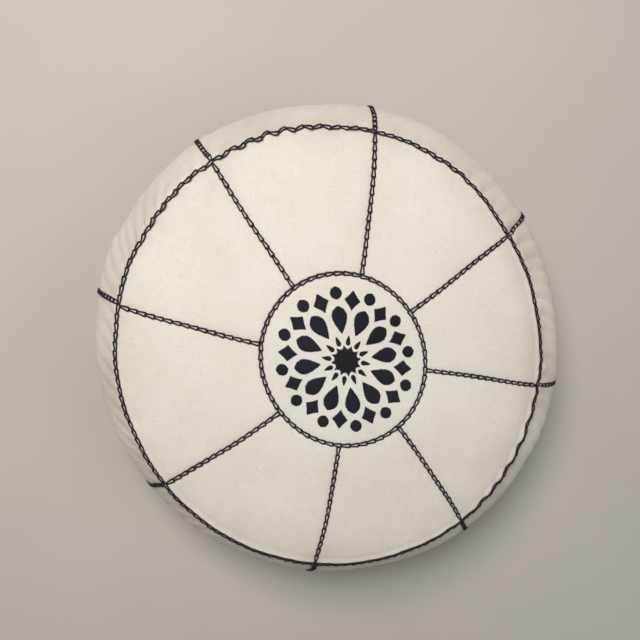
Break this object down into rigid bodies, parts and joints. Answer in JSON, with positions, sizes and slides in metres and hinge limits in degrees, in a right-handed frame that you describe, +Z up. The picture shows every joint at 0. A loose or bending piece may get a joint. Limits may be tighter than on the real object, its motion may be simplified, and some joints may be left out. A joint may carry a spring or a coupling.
{
  "type": "round floor cushion",
  "caption": "Round stuffed floor cushion with a wedge-panelled canvas cover, chain-stitched seams, an embroidered middle disc and a zip under its base.",
  "frame": {"origin": "middle of the base, on the floor that the cushion rests on", "axes": "+Z straight up through the middle of the embroidered disc; the zip runs along X and opens towards +X"},
  "size_m": [0.5646, 0.5646, 0.2009],
  "materials": {
    "canvas": "matt woven cotton canvas, off-white",
    "chain_stitch": "navy cotton thread, soft sheen",
    "embroidery": "navy embroidery thread, soft sheen",
    "inner_bag": "plain unbleached cotton",
    "filling": "matt loose fibre",
    "zip_tape": "flat woven tape",
    "zip_coil": "nylon coil",
    "zip_metal": "antique brass, rubbed bright on its edges"
  },
  "bodies": {
    "cushion": {"medallion": "canvas", "top_panel_1": "canvas", "top_panel_2": "canvas", "top_panel_3": "canvas", "top_panel_4": "canvas", "top_panel_5": "canvas", "top_panel_6": "canvas", "top_panel_7": "canvas", "top_panel_8": "canvas", "side_panel_1": "canvas", "side_panel_2": "canvas", "side_panel_3": "canvas", "side_panel_4": "canvas", "side_panel_5": "canvas", "side_panel_6": "canvas", "side_panel_7": "canvas", "side_panel_8": "canvas", "base_half_left": "canvas", "base_half_right": "canvas", "bag_top": "inner_bag", "bag_side": "inner_bag", "bag_base": "inner_bag", "filling": "filling", "medallion_stitch": "chain_stitch", "top_stitch_1": "chain_stitch", "top_stitch_2": "chain_stitch", "top_stitch_3": "chain_stitch", "top_stitch_4": "chain_stitch", "top_stitch_5": "chain_stitch", "top_stitch_6": "chain_stitch", "top_stitch_7": "chain_stitch", "top_stitch_8": "chain_stitch", "rim_stitch": "chain_stitch", "side_stitch_1": "chain_stitch", "side_stitch_2": "chain_stitch", "side_stitch_3": "chain_stitch", "side_stitch_4": "chain_stitch", "side_stitch_5": "chain_stitch", "side_stitch_6": "chain_stitch", "side_stitch_7": "chain_stitch", "side_stitch_8": "chain_stitch", "base_rim_stitch": "chain_stitch", "rosette_star": "embroidery", "rosette_drops": "embroidery", "rosette_petals": "embroidery", "rosette_diamonds": "embroidery", "rosette_dots": "embroidery", "zip_tape_left": "zip_tape", "zip_tape_right": "zip_tape", "zip_coil_left": "zip_coil", "zip_coil_right": "zip_coil", "zip_top_stops": "zip_metal", "zip_bottom_stop": "zip_metal"},
    "slider": {"zip_slider": "zip_metal"},
    "pull": {"zip_pull": "zip_metal"}
  },
  "joints": [
    {"name": "zip_slide", "type": "slide", "parent": "cushion", "child": "slider", "axis": [1, 0, 0], "range_m": [0, 0.3]},
    {"name": "pull_swing", "type": "hinge", "parent": "slider", "child": "pull", "pos_m": [-0.15, 0, 0.00725], "axis": [0, 1, 0], "range_deg": [0, 170]}
  ]
}
